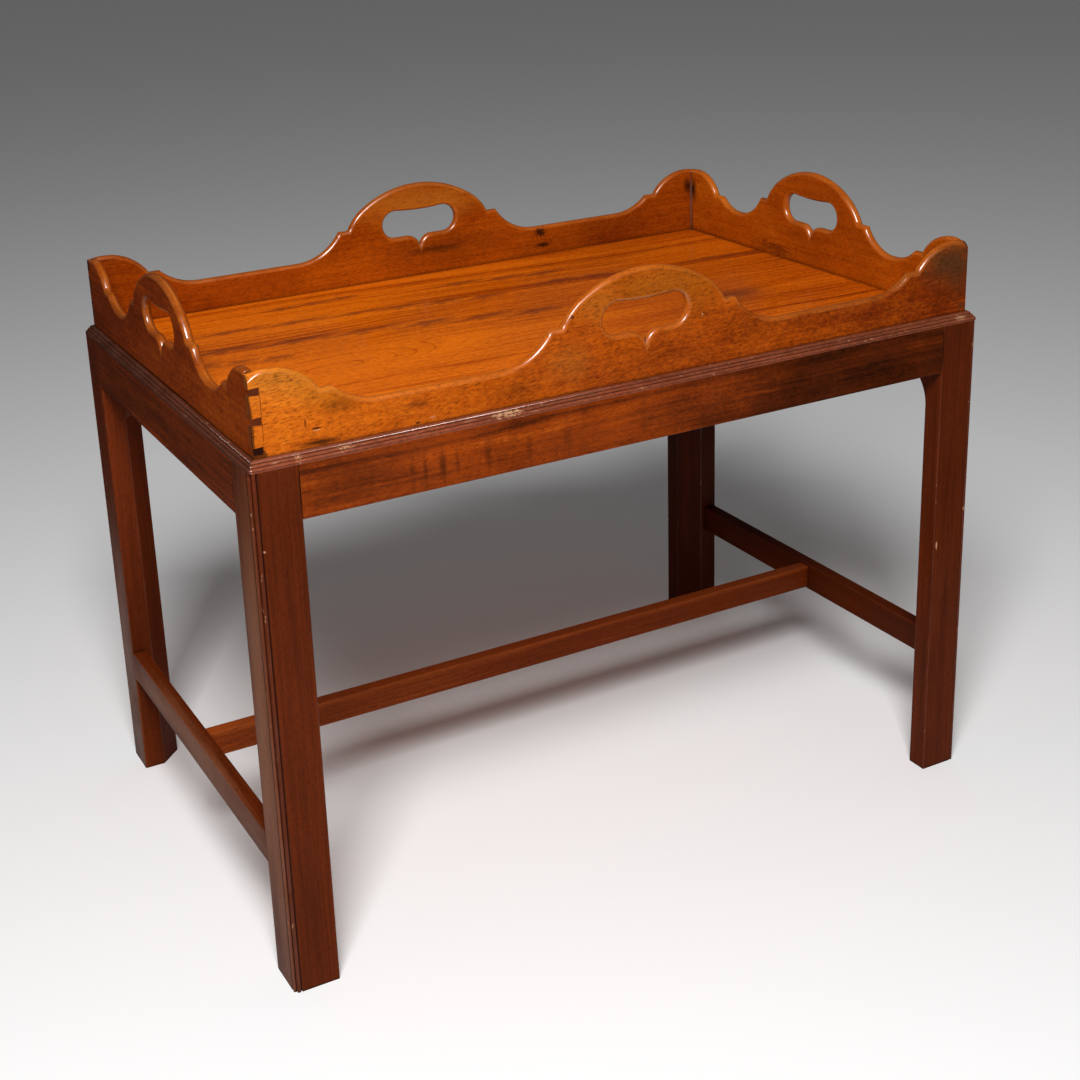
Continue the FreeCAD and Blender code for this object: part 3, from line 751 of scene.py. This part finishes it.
lip_look = dict(base=0.30, streak=0.2, grit=0.5, crevice=4 * MM, dirt=(0.50, 1.0), shine=0.45, wear=0.1,
                polish=0.6, specks=0.35, speck_share=0.31, gloss=0.17)
dress(LIPS, 41, LIP_TONES, lip_look, {"lip_front": dict(base=0.50, marks=front_lip_marks)})


# Floor
FLOOR_RADIUS = 30.0
FLOOR_SEGMENTS = 96
NEAR_FLOOR = 0.7
FAR_FLOOR = 1.3
FLOOR_COLOUR = (0.90, 0.90, 0.90)
NEAR_FLOOR_IN_POLISH = (0.40, 0.40, 0.40)
FAR_FLOOR_IN_POLISH = (0.05, 0.05, 0.05)


def make_floor():
    """A plain pale floor, far larger than the view, whose far part is dim in the polish of the wood."""
    mesh = bpy.data.meshes.new("studio_floor")
    bm = bmesh.new()
    bmesh.ops.create_circle(bm, cap_ends=True, radius=FLOOR_RADIUS, segments=FLOOR_SEGMENTS)
    bm.to_mesh(mesh)
    bm.free()
    floor = bpy.data.objects.new("studio_floor", mesh)
    bpy.context.scene.collection.objects.link(floor)
    s = Shader(bpy.data.materials.new("studio_paper"))
    place = s.add("TexCoord").outputs["Object"]
    away = s.ramp(s.reach(place, (0, 0, 0), (1, 1, 1)), NEAR_FLOOR, FAR_FLOOR)
    mirrored = s.mix(away, NEAR_FLOOR_IN_POLISH, FAR_FLOOR_IN_POLISH)
    colour = s.mix(s.add("LightPath").outputs["Is Glossy Ray"], FLOOR_COLOUR, mirrored)
    paper = s.add("BsdfDiffuse", {"Color": colour})
    s.add("OutputMaterial", {"Surface": paper.outputs["BSDF"]})
    mesh.materials.append(s.owner)


make_floor()


# Light
KEY_PLACE = (-0.98, -1.63, 2.27)
KEY_AIM = (0.0, 0.0, 0.45)
KEY_SIDE = 0.9
KEY_POWER = 89


def soft_box(name, place, aim, width, height, power):
    """A rectangular studio lamp."""
    lamp = bpy.data.lights.new(name, "AREA")
    lamp.shape = "RECTANGLE"
    lamp.size, lamp.size_y = width, height
    lamp.energy = power
    box = bpy.data.objects.new(name, lamp)
    box.location = place
    box.rotation_euler = (Vector(aim) - Vector(place)).to_track_quat("-Z", "Y").to_euler()
    bpy.context.scene.collection.objects.link(box)


soft_box("key", KEY_PLACE, KEY_AIM, KEY_SIDE, KEY_SIDE, KEY_POWER)

FRONT_AIR = 0.10
BACK_AIR = 0.12
LOW_BACK_AIR = 0.75
BACK = (0.42, 0.91, 0.0)
FULLY_BEHIND = 0.8
LOW_AIR = 0.12
HIGH_AIR = 0.50
AIR_IN_POLISH = 0.03


def make_air():
    """Dim air round the table, brighter low down behind it."""
    s = Shader(bpy.data.worlds.new("studio_air"))
    way = s.add("TexCoord").outputs["Generated"]
    behind = s.dot(way, BACK)
    height = s.add("SeparateXYZ", {"Vector": way}).outputs["Z"]
    glow = s.ramp(height, LOW_AIR, HIGH_AIR, LOW_BACK_AIR, BACK_AIR)
    extra = s.math("MULTIPLY", s.ramp(behind, 0.0, FULLY_BEHIND), glow)
    air = s.math("ADD", extra, FRONT_AIR)
    mirrored = s.math("SUBTRACT", AIR_IN_POLISH, air)
    level = s.math("ADD", air, s.math("MULTIPLY", s.add("LightPath").outputs["Is Glossy Ray"], mirrored))
    background = s.add("Background", {"Strength": level})
    s.add("OutputWorld", {"Surface": background.outputs["Background"]})
    bpy.context.scene.world = s.owner


make_air()


# Camera at the photograph's viewing angle
PHOTO_SIDE = 1080
SENSOR_WIDTH = 36.0
FOCAL_PIXELS = 1693.0
AXIS_PIXEL = (490.0, 395.0)
CAMERA_PLACE = (-0.7995, -1.4837, 0.9938)
VIEW_TURN = math.radians(27.15)
VIEW_DROP = math.radians(18.49)
VIEW_ROLL = math.radians(-2.38)

lens = bpy.data.cameras.new("camera")
lens.sensor_width = SENSOR_WIDTH
lens.lens = FOCAL_PIXELS / PHOTO_SIDE * SENSOR_WIDTH
lens.shift_x = 0.5 - AXIS_PIXEL[0] / PHOTO_SIDE
lens.shift_y = AXIS_PIXEL[1] / PHOTO_SIDE - 0.5
camera = bpy.data.objects.new("camera", lens)
turn = Matrix.Rotation(-VIEW_TURN, 4, "Z") @ Matrix.Rotation(math.pi / 2 - VIEW_DROP, 4, "X")
camera.matrix_world = Matrix.Translation(CAMERA_PLACE) @ turn @ Matrix.Rotation(VIEW_ROLL, 4, "Z")
bpy.context.scene.collection.objects.link(camera)
bpy.context.scene.camera = camera
bpy.context.scene.view_settings.view_transform = "Standard"
